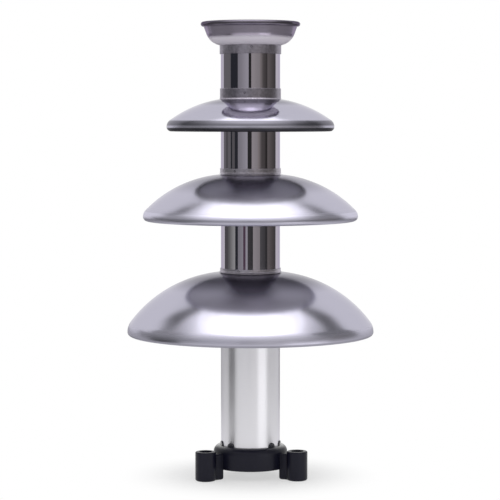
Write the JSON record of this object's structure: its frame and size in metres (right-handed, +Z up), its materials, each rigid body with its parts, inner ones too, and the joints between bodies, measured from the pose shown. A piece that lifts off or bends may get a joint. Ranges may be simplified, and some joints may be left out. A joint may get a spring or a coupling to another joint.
{
  "type": "chocolate fountain tower",
  "caption": "Tower of a tiered chocolate fountain: lugged foot, steel tube, stacked spun tiers on polished risers, crown bowl and a lifting auger inside.",
  "frame": {"origin": "on the tower's axis, in the plane of the lugs' undersides", "axes": "+Z up along the tower's axis, -Y towards the viewer, midway between the two front lugs"},
  "size_m": [0.25, 0.25, 0.4616],
  "materials": {
    "black_plastic": "satin black",
    "acetal": "natural",
    "satin_steel": "satin",
    "spun_steel": "spun satin",
    "mirror_steel": "mirror polished",
    "collar_steel": "polished",
    "turned_steel": "turned",
    "auger_steel": "satin"
  },
  "bodies": {
    "stand": {"foot": "black_plastic", "foot_bush": "acetal", "main_tube": "satin_steel"},
    "auger_seat": {"thrust_washer": "acetal"},
    "auger": {"drive_socket": "turned_steel", "drive_pin": "turned_steel", "auger_shaft": "auger_steel", "auger_flight": "auger_steel", "auger_nose": "auger_steel"},
    "large_section": {"large_tier": "spun_steel", "large_collar": "collar_steel", "lower_riser": "mirror_steel", "lower_coupling": "turned_steel"},
    "medium_section": {"medium_tier": "spun_steel", "medium_collar": "collar_steel", "middle_riser": "mirror_steel", "middle_coupling": "turned_steel"},
    "crown_section": {"small_tier": "spun_steel", "small_collar": "collar_steel", "upper_riser": "mirror_steel", "upper_coupling": "turned_steel", "crown_collar": "collar_steel", "crown": "spun_steel"}
  },
  "joints": [
    {"name": "auger_lift", "type": "slide", "parent": "stand", "child": "auger_seat", "axis": [0, 0, 1], "range_m": [0, 0.45]},
    {"name": "auger_spin", "type": "hinge", "parent": "auger_seat", "child": "auger", "pos_m": [0, 0, 0], "axis": [0, 0, 1], "continuous": true},
    {"name": "large_lift", "type": "slide", "parent": "stand", "child": "large_section", "axis": [0, 0, 1], "range_m": [0, 0.26]},
    {"name": "medium_lift", "type": "slide", "parent": "large_section", "child": "medium_section", "axis": [0, 0, 1], "range_m": [0, 0.16]},
    {"name": "crown_lift", "type": "slide", "parent": "medium_section", "child": "crown_section", "axis": [0, 0, 1], "range_m": [0, 0.085]}
  ]
}
